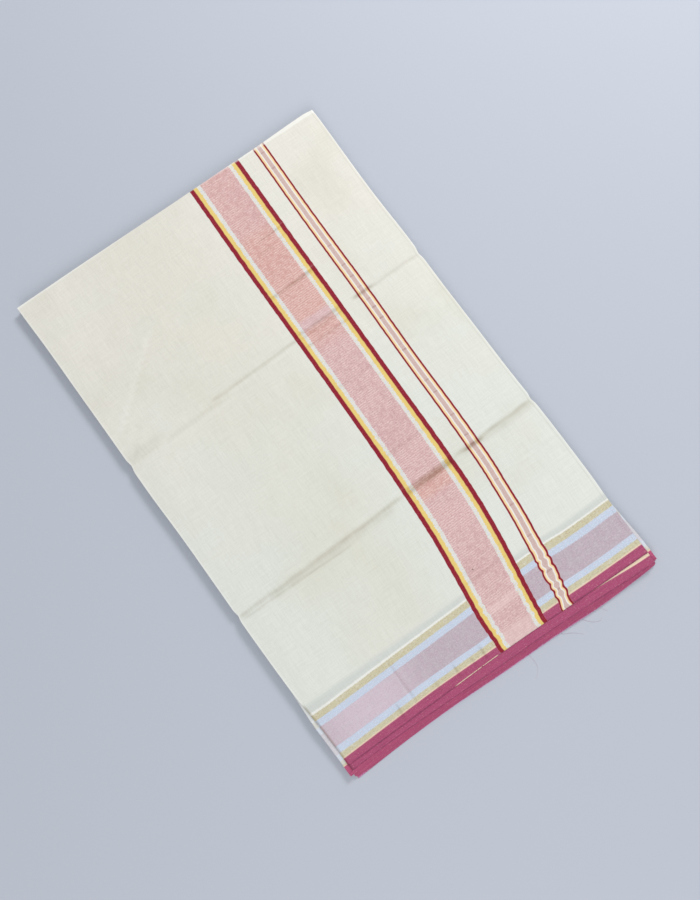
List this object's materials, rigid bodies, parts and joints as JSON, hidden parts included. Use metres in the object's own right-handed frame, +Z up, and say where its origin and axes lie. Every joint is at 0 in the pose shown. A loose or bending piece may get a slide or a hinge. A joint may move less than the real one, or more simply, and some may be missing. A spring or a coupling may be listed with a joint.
{
  "type": "folded saree",
  "caption": "Long unstitched dress cloth folded flat into a rectangular pack, layered at its edges, with its woven selvedges fanned along one short edge.",
  "frame": {"origin": "under the middle of the pack's bounding box, on the surface that it rests on", "axes": "+Y from the selvedges to the half fold, +X from the left panel folds to the cut end, +Z up"},
  "size_m": [0.38, 0.6028, 0.0097],
  "materials": {
    "cream_cloth": "soft woven cloth with a slight sheen",
    "magenta_selvedge": "woven selvedge with a slight sheen"
  },
  "bodies": {
    "root": {"top_panel": "cream_cloth", "second_ply": "magenta_selvedge", "hidden_layers": "cream_cloth", "underside_panel": "magenta_selvedge"}
  },
  "joints": []
}
